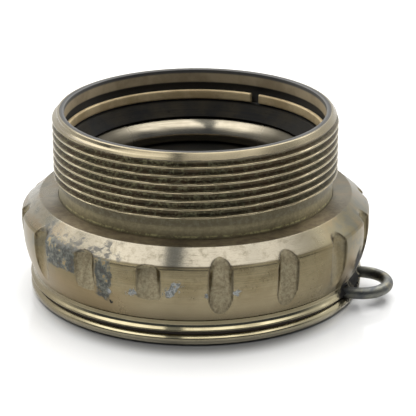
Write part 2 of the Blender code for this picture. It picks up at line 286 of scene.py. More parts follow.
def turned(name, outline, columns, shape=None):
    """Turns a closed outline about Z. shape(azimuth, radius, height) gives new radii and marks.

    The marks become point attributes that a material can read.
    """
    outline = np.asarray(outline, float)
    ahead = np.roll(outline, -1, axis=0)
    area = np.sum(outline[:, 0] * ahead[:, 1] - ahead[:, 0] * outline[:, 1])
    if area > 0:
        outline = outline[::-1]
    azimuth = np.linspace(0, 2 * math.pi, columns, endpoint=False)
    radius = np.repeat(outline[:, :1], columns, axis=1)
    height = np.repeat(outline[:, 1:], columns, axis=1)
    marks = {}
    if shape:
        radius, marks = shape(azimuth[None, :], radius, height)
    x = radius * np.sin(azimuth)
    y = -radius * np.cos(azimuth)
    points = np.stack((x, y, height), axis=-1) * MM
    index = np.arange(radius.size).reshape(radius.shape)
    below = np.roll(index, -1, axis=0)
    quads = np.stack((index, below, np.roll(below, -1, axis=1), np.roll(index, -1, axis=1)), axis=-1)
    mesh = bpy.data.meshes.new(name)
    mesh.from_pydata(points.reshape(-1, 3).tolist(), [], quads.reshape(-1, 4).tolist())
    for mark, values in marks.items():
        layer = mesh.attributes.new(mark, "FLOAT", "POINT")
        layer.data.foreach_set("value", np.broadcast_to(values, radius.shape).astype(np.float32).ravel())
    mesh.shade_smooth()
    mesh.set_sharp_from_angle(angle=math.radians(50))
    piece = bpy.data.objects.new(name, mesh)
    bpy.context.scene.collection.objects.link(piece)
    return piece


def weld(piece):
    """Joins the points that meet at a pole."""
    shape = bmesh.new()
    shape.from_mesh(piece.data)
    bmesh.ops.remove_doubles(shape, verts=shape.verts, dist=1e-8)
    shape.to_mesh(piece.data)
    shape.free()
    piece.data.set_sharp_from_angle(angle=math.radians(50))
    return piece


def cut(piece, tools, name):
    """Cuts the shapes in a bmesh out of a piece, and applies the cut."""
    bmesh.ops.recalc_face_normals(tools, faces=tools.faces)
    mesh = bpy.data.meshes.new(name)
    tools.to_mesh(mesh)
    tools.free()
    tool = bpy.data.objects.new(name, mesh)
    bpy.context.scene.collection.objects.link(tool)
    step = piece.modifiers.new(name, "BOOLEAN")
    step.operation = "DIFFERENCE"
    step.solver = "EXACT"
    step.object = tool
    bpy.context.view_layer.update()
    evaluated = piece.evaluated_get(bpy.context.evaluated_depsgraph_get())
    result = bpy.data.meshes.new_from_object(evaluated)
    piece.modifiers.clear()
    piece.data = result
    bpy.data.objects.remove(tool)
    result.shade_smooth()
    result.set_sharp_from_angle(angle=math.radians(40))


def add_rod(tools, start, end, radius):
    axis = end - start
    aim = axis.to_track_quat("Z", "Y").to_matrix().to_4x4()
    place = Matrix.Translation((start + end) / 2) @ aim
    ends = {"radius1": radius, "radius2": radius, "cap_ends": True}
    bmesh.ops.create_cone(tools, segments=ROD_SIDES, depth=axis.length, matrix=place, **ends)


def add_block(tools, azimuth, radius, height, size):
    turn = Matrix.Rotation(math.radians(azimuth - 90), 4, "Z")
    move = Matrix.Translation(outward(azimuth, radius, height))
    stretch = Matrix.Diagonal((size[0] * MM, size[1] * MM, size[2] * MM, 1))
    bmesh.ops.create_cube(tools, size=1.0, matrix=move @ turn @ stretch)


def thread_radius(azimuth, height, crest_radius):
    """Radius of the right-hand thread, cut back by the relief below it. The lead-in cone cuts it in
    make_barrel, where the outline is narrower.
    """
    climb = THREAD_PITCH * azimuth / (2 * math.pi)
    turns = (height - THREAD_CREST_Z - climb) / THREAD_PITCH
    away = np.abs(turns - np.round(turns))
    rise = np.clip((THREAD_ROOT_SHARE - away) / (THREAD_ROOT_SHARE - THREAD_CREST_SHARE), 0, 1)
    rise = 0.5 * rise + 0.5 * rise * rise * (3 - 2 * rise)
    radius = THREAD_ROOT_RADIUS + (crest_radius - THREAD_ROOT_RADIUS) * rise
    relief = THREAD_ROOT_RADIUS + np.maximum(0, height - THREAD_RELIEF_Z) * THREAD_RELIEF_SLOPE
    return np.minimum(radius, relief)


def make_barrel():
    crest, top, foot = extent("threaded_barrel")
    corners = [
        (BORE, top, 0.1),
        (RIM_LAND_RADIUS, top, 0.12),
        (crest, LEAD_IN_Z, 0.1),
        (crest, THREAD_RELIEF_Z, 0),
        (THREAD_ROOT_RADIUS, THREAD_RELIEF_Z, 0.4),
        (THREAD_ROOT_RADIUS, foot, 0.1),
        (LOWER_BORE, foot, 0.1),
        (LOWER_BORE, BRIDGE_FOOT_Z, 0),
        (BRIDGE_BORE, BRIDGE_FOOT_Z, 0.1),
        (BRIDGE_BORE, BRIDGE_TOP_Z, 0.1),
        (BORE, BRIDGE_TOP_Z, 0),
        (BORE, GROOVE_FOOT_Z, 0.05),
        (GROOVE_RADIUS, GROOVE_FOOT_Z, 0),
        (GROOVE_RADIUS, GROOVE_TOP_Z, 0),
        (BORE, GROOVE_TOP_Z, 0.05),
    ]

    def threaded(here, ahead):
        outside = min(here[0], ahead[0]) > THREAD_ROOT_RADIUS - 0.02
        return outside and max(here[1], ahead[1]) > THREAD_RELIEF_Z

    def shape(azimuth, radius, height):
        thread = thread_radius(azimuth, height, crest)
        outer = (radius > THREAD_ROOT_RADIUS - 0.3) & (height > THREAD_RELIEF_Z - 0.3)
        below_rim = outer & (height < LEAD_IN_Z + 0.3)
        depth = np.where(below_rim, (crest - thread) / (crest - THREAD_ROOT_RADIUS), 0)
        return np.where(outer, np.minimum(radius, thread), radius), {"groove": depth}

    outline = divided(rounded(corners, 0.6), THREAD_STEP, threaded)
    return turned("barrel_tube", outline, BARREL_COLUMNS, shape)


def flank_radius(height, belly):
    return belly - FLANK_ARC_RADIUS + math.sqrt(FLANK_ARC_RADIUS ** 2 - (height - BELLY_Z) ** 2)


def flute_shape(azimuth, radius, height):
    """Sinks the flutes into the collar: flat floors, steep walls and rounded ends."""
    spacing = 2 * math.pi / FLUTES
    turns = (azimuth - math.radians(FLUTE_FIRST_AZIMUTH)) / spacing
    number = np.round(turns).astype(int) % FLUTES
    away = (turns - np.round(turns)) * spacing
    wobble = 0.1 * np.sin(5.0 * number)
    top, foot, foot_floor, end = (np.zeros(number.shape) for _ in range(4))
    top += FLUTE_TOP_Z + wobble
    foot += FLUTE_FOOT_Z + wobble
    foot_floor += FLUTE_FOOT_FLOOR
    end += FLUTE_END
    for flute, (shallow_top, shallow_foot, shallow_floor) in SHALLOW_FLUTES.items():
        chosen = number == flute
        top[chosen] = shallow_top
        foot[chosen] = shallow_foot
        foot_floor[chosen] = shallow_floor
        end[chosen] = SHALLOW_END
    beyond = np.maximum(height - (top - end), (foot + FLUTE_FOOT_END) - height)
    end_share = np.where(height > (top + foot) / 2, end, FLUTE_FOOT_END)
    across = radius * np.sin(away) / FLUTE_HALF_WIDTH
    reach = np.sqrt(across ** 2 + (np.maximum(beyond, 0) / end_share) ** 2)
    down = np.clip((top - height) / (top - foot), 0, 1)
    floor = FLUTE_FLOOR + (foot_floor - FLUTE_FLOOR) * down + FLUTE_CROWN * np.sin(math.pi * down)
    sunk = floor / np.cos(away) + (radius - floor / np.cos(away)) * np.clip(reach, 0, 1) ** 3.5
    outer = radius > CHAMFER_TOP_RADIUS + 0.3
    cut_here = outer & (sunk < radius) & (reach < 1)
    depth = np.clip((radius - floor) / 0.5, 0, 1)
    marks = {
        "flute": np.where(cut_here, 1.0, 0.0),
        "flute_edge": np.where(outer, np.exp(-(((reach - 0.98) / 0.05) ** 2)) * depth, 0),
    }
    return np.where(cut_here, sunk, radius), marks


def make_collar():
    belly, top, foot = extent("grip_collar")
    corners = [
        (COLLAR_BORE, top, 0.06),
        (CHAMFER_TOP_RADIUS, top, 0.08),
        (CHAMFER_FOOT_RADIUS, CHAMFER_FOOT_Z, 0.25),
    ]
    for height in np.linspace(CHAMFER_FOOT_Z - 0.35, foot, 24):
        corners.append((flank_radius(height, belly), height, 0))
    corners[-1] = (*corners[-1][:2], 0.1)
    corners.append((COLLAR_BORE, foot, 0.1))

    def fluted(here, ahead):
        return min(here[0], ahead[0]) > CHAMFER_TOP_RADIUS - 0.2 and abs(here[1] - ahead[1]) > 1e-4

    outline = divided(rounded(corners, 2.0), FLUTE_STEP, fluted)
    return turned("collar_shell", outline, COLLAR_COLUMNS, flute_shape)


def make_swivel_ring():
    crest, _, foot = extent("swivel_ring")
    top = extent("grip_collar")[2] - PARTING_GAP
    corners = [
        (SWIVEL_BORE, top, 0.1),
        (SWIVEL_NECK, top, 0.08),
        (SWIVEL_NECK - 0.04, UPPER_BEAD_Z + 0.64, 0.05),
        (SWIVEL_NECK + 0.1, UPPER_BEAD_Z + 0.36, 0.08),
        (crest - 0.06, UPPER_BEAD_Z + 0.1, 0.06),
        (crest, UPPER_BEAD_Z, 0.06),
        (crest - 0.1, UPPER_BEAD_Z - 0.16, 0.1),
        (VALLEY_RADIUS, VALLEY_TOP_Z, 0.05),
        (VALLEY_RADIUS, VALLEY_FOOT_Z, 0.05),
        (VALLEY_RADIUS + 0.17, VALLEY_FOOT_Z - 0.02, 0.06),
        (crest - 0.06, LOWER_BEAD_TOP_Z, 0.1),
        (crest - 0.02, LOWER_BEAD_FOOT_Z, 0.2),
        (SWIVEL_NECK + 0.23, foot, 0.15),
        (SWIVEL_STEP_BORE, foot, 0.1),
        (SWIVEL_STEP_BORE, SWIVEL_STEP_Z, 0),
        (SWIVEL_BORE, SWIVEL_STEP_Z, 0.1),
    ]
    ring = turned("swivel_band", rounded(corners, 0.5), RING_COLUMNS)
    out = outward(EYE_AZIMUTH, 1, 0)
    beside = Vector((-out.y, out.x, 0))
    tools = bmesh.new()
    for side in (-1, 1):
        offset = beside * side * EYE_HALF_WIDTH + Vector((0, 0, EYE_Z * MM))
        add_rod(tools, out * EYE_HOLE_END + offset, out * EYE_HOLE_MOUTH + offset, EYE_HOLE_RADIUS * MM)
    cut(ring, tools, "eye_drills")
    return ring


def make_eye():
    """A U of wire: two legs in the swivel ring and a half-round bend."""
    out = outward(EYE_AZIMUTH, 1, 0)
    beside = Vector((-out.y, out.x, 0))
    leg = [EYE_LEG_END + (EYE_BEND_CENTRE - EYE_LEG_END) * share for share in np.linspace(0, 0.9, 6)]
    route = [(distance, -EYE_HALF_WIDTH) for distance in leg]
    for turn in np.linspace(0, math.pi, 33):
        route.append((EYE_BEND_CENTRE + EYE_HALF_WIDTH * math.sin(turn), -EYE_HALF_WIDTH * math.cos(turn)))
    route += [(distance, EYE_HALF_WIDTH) for distance in reversed(leg)]
    centres = [out * distance + beside * offset + Vector((0, 0, EYE_Z * MM)) for distance, offset in route]
    shape = bmesh.new()
    rings = []
    for index, centre in enumerate(centres):
        before = centres[max(index - 1, 0)]
        after = centres[min(index + 1, len(centres) - 1)]
        along = (after - before).normalized()
        across = along.cross(Vector((0, 0, 1)))
        ring = []
        for side in range(WIRE_SIDES):
            turn = 2 * math.pi * side / WIRE_SIDES
            offset = across * math.cos(turn) + Vector((0, 0, 1)) * math.sin(turn)
            ring.append(shape.verts.new(centre + offset * EYE_WIRE_RADIUS * MM))
        rings.append(ring)
    for ring, following in zip(rings, rings[1:]):
        for side in range(WIRE_SIDES):
            ahead = (side + 1) % WIRE_SIDES
            shape.faces.new((ring[side], following[side], following[ahead], ring[ahead]))
    shape.faces.new(rings[0])
    shape.faces.new(rings[-1])
    bmesh.ops.recalc_face_normals(shape, faces=shape.faces)
    mesh = bpy.data.meshes.new("wire_eye")
    shape.to_mesh(mesh)
    shape.free()
    mesh.shade_smooth()
    mesh.set_sharp_from_angle(angle=math.radians(50))
    eye = bpy.data.objects.new("wire_eye", mesh)
    bpy.context.scene.collection.objects.link(eye)
    return eye


def band(bore, radius, top, foot, fillet=0.06):
    return [(bore, top, fillet), (radius, top, fillet), (radius, foot, fillet), (bore, foot, fillet)]


def make_spring_ring():
    radius, top, foot = extent("spring_ring")
    outline = band(SPRING_BORE, radius, top - SPRING_TOP_DROP, foot - SPRING_FOOT_DROP, 0.3)
    ring = turned("split_ring", rounded(outline, 0.4), INNER_COLUMNS)
    tools = bmesh.new()
    add_block(tools, SPLIT_AZIMUTH, BORE - 0.04, SPLIT_Z, SPLIT_SIZE)
    cut(ring, tools, "split_cutter")
    return ring


def make_baffle():
    radius, top, foot = extent("baffle_ring")
    corners = [
        (BAFFLE_TOP_BORE, top, 0),
        (radius, top, 0.03),
        (radius, foot, 0.05),
        (BAFFLE_FOOT_BORE, foot, 0.05),
    ]
    return turned("baffle_cone", rounded(corners, 0.3), INNER_COLUMNS)


def make_seat():
    radius, top, foot = extent("seat_ring")
    corners = [(radius, top, 0.05), (radius, foot, 0.05), (SEAT_BORE, foot, 0.05)]
    for share in np.linspace(0, 1, 13):
        bulge = SEAT_BULGE * math.sin(math.pi * share)
        height = SEAT_LIP_Z + (top - SEAT_LIP_Z) * share
        corners.append((SEAT_BORE + SEAT_FLARE * share - bulge, height + bulge, 0))
    return turned("seat_cone", rounded(corners, 0.3), BRIGHT_COLUMNS)


def make_stop():
    radius, top, foot = extent("stop_plate")
    outline = rounded(band(APERTURE_RADIUS, radius, top, foot, 0.1), 1.0)
    return turned("aperture_plate", outline, INNER_COLUMNS)


def make_spacer():
    radius, top, foot = extent("spacer_ring")
    outline = rounded(band(SPACER_BORE, radius, top, foot), 0.5)
    return turned("glass_spacer", outline, GLASS_COLUMNS)


def make_retainer():
    radius, top, foot = extent("retaining_ring")
    outline = rounded(band(RETAINER_BORE, radius, top, foot, 0.1), 0.5)
    ring = turned("glass_retainer", outline, INNER_COLUMNS)
    tools = bmesh.new()
    for azimuth in SLOT_AZIMUTHS:
        add_block(tools, azimuth, SLOT_RADIUS, foot, SLOT_SIZE)
    cut(ring, tools, "slot_cutter")
    return ring


def make_bezel():
    radius, top, foot = extent("front_bezel")
    corners = [
        (BEZEL_BORE, top, 0.1),
        (BEZEL_NECK, top, 0.1),
        (BEZEL_NECK, BEZEL_FLANGE_Z, 0),
        (radius, BEZEL_FLANGE_Z, 0.15),
        (radius, foot, 0.3),
        (BEZEL_FOOT_BORE, foot, 0.15),
        (BEZEL_BORE, BEZEL_BEVEL_Z, 0.15),
    ]
    return turned("front_ring", rounded(corners, 0.4), BRIGHT_COLUMNS)


def lens_arc(vertex_z, edge_z, edge_radius, steps):
    sag = vertex_z - edge_z
    curve = (edge_radius ** 2 + sag ** 2) / (2 * abs(sag))
    radii = np.linspace(edge_radius, 0, steps)
    heights = vertex_z - np.copysign(curve - np.sqrt(curve ** 2 - radii ** 2), sag)
    return list(zip(radii, heights))


def make_flint():
    radius, top, foot = extent("rear_flint")
    outline = [(0, top), (0.5 * radius, top), (radius - 0.1, top), (radius, top - 0.1), (radius, foot)]
    outline += lens_arc(FLINT_HOLLOW_Z, foot, radius - 0.4, 24)
    return weld(turned("flint_glass_blank", outline, GLASS_COLUMNS))


def make_crown():
    radius, top, foot = extent("front_crown")
    outline = list(reversed(lens_arc(top, CROWN_UPPER_EDGE_Z, radius, 24)))
    outline += lens_arc(foot, CROWN_LOWER_EDGE_Z, radius, 24)
    return weld(turned("crown_glass_blank", outline, GLASS_COLUMNS))


# ---------------------------------------------------------------- materials

class Nodes:
    """A short way to write a shader's node tree."""

    def __init__(self, name=None, tree=None):
        self.tree = tree
        if name:
            self.material = bpy.data.materials.new(name)
            self.material.use_nodes = True
            self.tree = self.material.node_tree
            self.shader = self.tree.nodes["Principled BSDF"]
            self.place = self.add("ShaderNodeTexCoord").outputs["Object"]

    def add(self, kind, **settings):
        node = self.tree.nodes.new(kind)
        for key, value in settings.items():
            setattr(node, key, value)
        return node

    def put(self, socket, value):
        if isinstance(value, bpy.types.NodeSocket):
            self.tree.links.new(value, socket)
        else:
            socket.default_value = value

    def math(self, operation, first, second=0.0, clamp=False):
        node = self.add("ShaderNodeMath", operation=operation, use_clamp=clamp)
        for socket, value in zip(node.inputs, (first, second)):
            self.put(socket, value)
        return node.outputs[0]

    def plus(self, first, second):
        return self.math("ADD", first, second)

    def minus(self, first, second, clamp=False):
        return self.math("SUBTRACT", first, second, clamp)

    def times(self, first, second, clamp=False):
        return self.math("MULTIPLY", first, second, clamp)

    def over(self, first, second):
        return self.math("DIVIDE", first, second)

    def larger(self, first, second):
        return self.math("MAXIMUM", first, second)

    def ramp(self, value, low, high, to_low=0.0, to_high=1.0):
        """Smooth step of value from low to high."""
        node = self.add("ShaderNodeMapRange", interpolation_type="SMOOTHSTEP")
        for socket, number in zip(node.inputs, (value, low, high, to_low, to_high)):
            self.put(socket, number)
        return node.outputs["Result"]

    def mix(self, share, first, second, blend="MIX"):
        node = self.add("ShaderNodeMix", data_type="RGBA", blend_type=blend)
        self.put(node.inputs["Factor"], share)
        self.put(node.inputs["A"], first if isinstance(first, bpy.types.NodeSocket) else (*first, 1))
        self.put(node.inputs["B"], second if isinstance(second, bpy.types.NodeSocket) else (*second, 1))
        return node.outputs["Result"]

    def noise(self, vector, scale, detail, roughness):
        node = self.add("ShaderNodeTexNoise")
        self.put(node.inputs["Vector"], vector)
        node.inputs["Scale"].default_value = scale
        node.inputs["Detail"].default_value = detail
        node.inputs["Roughness"].default_value = roughness
        return node.outputs["Fac"]

    def axes(self):
        split = self.add("ShaderNodeSeparateXYZ")
        self.put(split.inputs[0], self.place)
        return [self.times(part, 1 / MM) for part in split.outputs]

    def join(self, x, y, z):
        node = self.add("ShaderNodeCombineXYZ")
        for socket, value in zip(node.inputs, (x, y, z)):
            self.put(socket, value)
        return node.outputs[0]

    def near(self, spot, reach, ragged, soft):
        """Mask round a spot: 1 inside, with an edge made ragged by a noise in -0.5 to 0.5."""
        node = self.add("ShaderNodeVectorMath", operation="DISTANCE")
        self.put(node.inputs[0], self.place)
        node.inputs[1].default_value = spot
        away = self.over(node.outputs["Value"], reach * MM)
        away = self.plus(away, ragged)
        return self.ramp(away, 1.0 + soft, 1.0 - soft)


def turned_metal(name, base, shade, rough, slant=-1.0, lines=0.5, patina=0.5, anisotropy=0.8, pits=0.4):
    """Turned metal: fine lines round the axis, patina in patches, pits, and a blur across the lines.

    The lines follow radius + slant * height, so that they show on flat and on upright faces. What
    comes back keeps its colour, roughness and metalness open for coat(), until close().
    """
    nodes = Nodes(name)
    x, y, z = nodes.axes()
    radius = nodes.math("SQRT", nodes.plus(nodes.times(x, x), nodes.times(y, y)))
    azimuth = nodes.times(nodes.math("ARCTAN2", x, nodes.times(y, -1.0)), 180 / math.pi)
    along = nodes.plus(radius, nodes.times(z, slant))
    slow_x = nodes.times(x, 0.016)
    slow_y = nodes.times(y, 0.016)
    stroke = nodes.noise(nodes.join(along, slow_x, slow_y), 9.0, 4.0, 0.7)
    broad = nodes.noise(nodes.join(along, slow_x, slow_y), 1.6, 3.0, 0.5)
    patch = nodes.noise(nodes.place, 170.0, 6.0, 0.66)
    speck = nodes.noise(nodes.place, 2600.0, 2.0, 0.5)
    uneven = nodes.times(nodes.minus(broad, 0.5), 1.2)
    tone = nodes.plus(nodes.ramp(patch, 0.36, 0.66), uneven)
    colour = nodes.mix(nodes.times(tone, patina, clamp=True), base, shade)
    streak = nodes.ramp(stroke, 0.35, 0.7, 1.0 - 0.35 * lines, 1.0 + 0.3 * lines)
    colour = nodes.mix(1.0, colour, nodes.join(streak, streak, streak), "MULTIPLY")
    pit_mask = nodes.times(nodes.ramp(speck, 0.66, 0.74), pits)
    colour = nodes.mix(pit_mask, colour, tuple(0.2 * part for part in shade))
    rough = nodes.plus(rough, nodes.times(nodes.minus(patch, 0.5), 0.2))
    rough = nodes.plus(rough, nodes.times(pit_mask, 0.3))
    bump = nodes.add("ShaderNodeBump")
    bump.inputs["Distance"].default_value = 0.006 * MM
    bump.inputs["Strength"].default_value = lines
    relief = nodes.minus(stroke, nodes.times(pit_mask, 0.8))
    nodes.put(bump.inputs["Height"], relief)
    shader = nodes.shader
    shader.inputs["Metallic"].default_value = 1.0
    shader.inputs["Anisotropic"].default_value = anisotropy
    shader.inputs["Anisotropic Rotation"].default_value = 0.25
    tangent = nodes.add("ShaderNodeTangent", direction_type="RADIAL", axis="Z")
    nodes.put(shader.inputs["Tangent"], tangent.outputs[0])
    nodes.put(shader.inputs["Normal"], bump.outputs[0])
    nodes.colour, nodes.rough, nodes.metal = colour, rough, None
    nodes.z, nodes.radius, nodes.azimuth, nodes.patch = z, radius, azimuth, patch
    return nodes


def coat(nodes, mask, colour, roughness=None, metal=None):
    """Lays a colour over the metal where the mask is 1, and may change its roughness and metalness."""
    nodes.colour = nodes.mix(mask, nodes.colour, colour)
    if roughness is not None:
        lift = nodes.minus(roughness, nodes.rough)
        nodes.rough = nodes.plus(nodes.rough, nodes.times(lift, mask))
    if metal is not None:
        fall = nodes.times(mask, 1.0 - metal)
        nodes.metal = nodes.minus(1.0 if nodes.metal is None else nodes.metal, fall, clamp=True)


def close(nodes):
    nodes.put(nodes.shader.inputs["Base Color"], nodes.colour)
    nodes.put(nodes.shader.inputs["Roughness"], nodes.rough)
    if nodes.metal is not None:
        nodes.put(nodes.shader.inputs["Metallic"], nodes.metal)
    return nodes.material


def mark(nodes, name):
    return nodes.add("ShaderNodeAttribute", attribute_name=name).outputs["Fac"]


def window(nodes, value, low, high, soft):
    """1 where the value lies between low and high, with soft ends."""
    rise = nodes.ramp(value, low - soft, low + soft)
    return nodes.times(rise, nodes.ramp(value, high + soft, high - soft))


def region(nodes, azimuths, heights, ragged, amount):
    """Mask of a stretch of surface between two azimuths and two heights, with ragged edges."""
    shift = nodes.minus(ragged, 0.5)
    azimuth = nodes.plus(nodes.azimuth, nodes.times(shift, amount * 2))
    height = nodes.plus(nodes.z, nodes.times(shift, amount))
    return nodes.times(window(nodes, azimuth, *azimuths, 0.6), window(nodes, height, *heights, 0.2))


def barrel_material():
    wear = {"patina": 0.6, "anisotropy": 0.9, "lines": 0.6, "pits": 0.15}
    nodes = turned_metal("barrel_worn", (0.36, 0.315, 0.21), (0.2, 0.16, 0.095), 0.2, **wear)
    # Brown roots of the thread, with pale crumbs that are fewer at the right.
    groove = mark(nodes, "groove")
    crumbs = nodes.noise(nodes.place, 1700.0, 4.0, 0.8)
    root = nodes.mix(nodes.ramp(nodes.patch, 0.42, 0.58), (0.09, 0.06, 0.03), (0.07, 0.058, 0.03))
    coat(nodes, nodes.times(nodes.ramp(groove, 0.08, 0.26), 0.94), root, 0.45, 0.6)
    left_side = nodes.ramp(nodes.azimuth, 30.0, -20.0, 0.45, 1.0)
    crumb_mask = nodes.times(nodes.ramp(crumbs, 0.5, 0.58), nodes.ramp(groove, 0.2, 0.5))
    crumb_mask = nodes.times(crumb_mask, left_side)
    coat(nodes, nodes.times(crumb_mask, 0.8), (0.31, 0.285, 0.15), 0.7, 0.2)
    # Lead-in cone under the rim.
    cone = nodes.times(nodes.ramp(nodes.z, 10.2, 10.5), nodes.ramp(nodes.radius, BORE_SIDE_RADIUS, 18.3))
    coat(nodes, nodes.times(cone, 0.8), (0.235, 0.2, 0.135), 0.24)
    # Olive neck, with painted shade under the thread, and a yellow line of wax near its foot.
    relief = nodes.ramp(nodes.z, THREAD_RELIEF_Z + 0.45, THREAD_RELIEF_Z + 0.05)
    neck = nodes.times(relief, nodes.ramp(nodes.radius, BORE_SIDE_RADIUS - 0.1, BORE_SIDE_RADIUS + 0.1))
    olive = nodes.mix(nodes.ramp(crumbs, 0.4, 0.62), (0.23, 0.195, 0.11), (0.33, 0.29, 0.165))
    coat(nodes, nodes.times(neck, 0.75), olive, 0.4, 0.7)
    shade_under_thread = nodes.times(neck, nodes.ramp(nodes.z, 1.1, 2.2))
    coat(nodes, nodes.times(shade_under_thread, 0.65), (0.1, 0.083, 0.045), 0.4)
    wax = nodes.times(window(nodes, nodes.z, 0.2, 0.42, 0.08), nodes.ramp(crumbs, 0.46, 0.56))
    wax = nodes.times(wax, nodes.ramp(nodes.radius, BORE_SIDE_RADIUS - 0.1, BORE_SIDE_RADIUS + 0.2))
    coat(nodes, nodes.times(wax, 0.9), (0.62, 0.56, 0.25), 0.6, 0.1)
    # Bore: a tarnished land, a black groove and whatever lies below it, and a painted dark reflection on
    # the lip at the rim.
    inside = nodes.ramp(nodes.radius, BORE_SIDE_RADIUS + 0.05, BORE_SIDE_RADIUS - 0.05)
    land = nodes.mix(nodes.ramp(nodes.patch, 0.4, 0.6), (0.5, 0.4, 0.25), (0.36, 0.28, 0.17))
    coat(nodes, nodes.times(inside, 0.95), land, 0.45, 0.15)
    recess = nodes.times(inside, nodes.ramp(nodes.radius, GROOVE_RADIUS - 0.3, GROOVE_RADIUS - 0.15))
    under_land = nodes.times(inside, nodes.ramp(nodes.z, GROOVE_TOP_Z + 0.25, GROOVE_TOP_Z))
    recess = nodes.larger(recess, under_land)
    coat(nodes, nodes.times(recess, 0.96), (0.01, 0.01, 0.01), 0.5, 0.5)
    lip_reflection = nodes.times(nodes.ramp(nodes.radius, 17.85, 17.7), nodes.ramp(nodes.z, 10.85, 11.15))
    coat(nodes, nodes.times(lip_reflection, 0.9), (0.03, 0.036, 0.044), 0.5, 0.5)
    return close(nodes)


def blots(nodes, spots, radius, ragged, strength, soft=0.2):
    """Ragged spots on a turned surface, for dirt and for painted shadow: azimuth, height and reach of
    each.
    """
    shift = nodes.times(nodes.minus(ragged, 0.5), strength)
    cover = 0.0
    for azimuth, height, reach in spots:
        cover = nodes.larger(cover, nodes.near(outward(azimuth, radius, height), reach, shift, soft))
    return cover


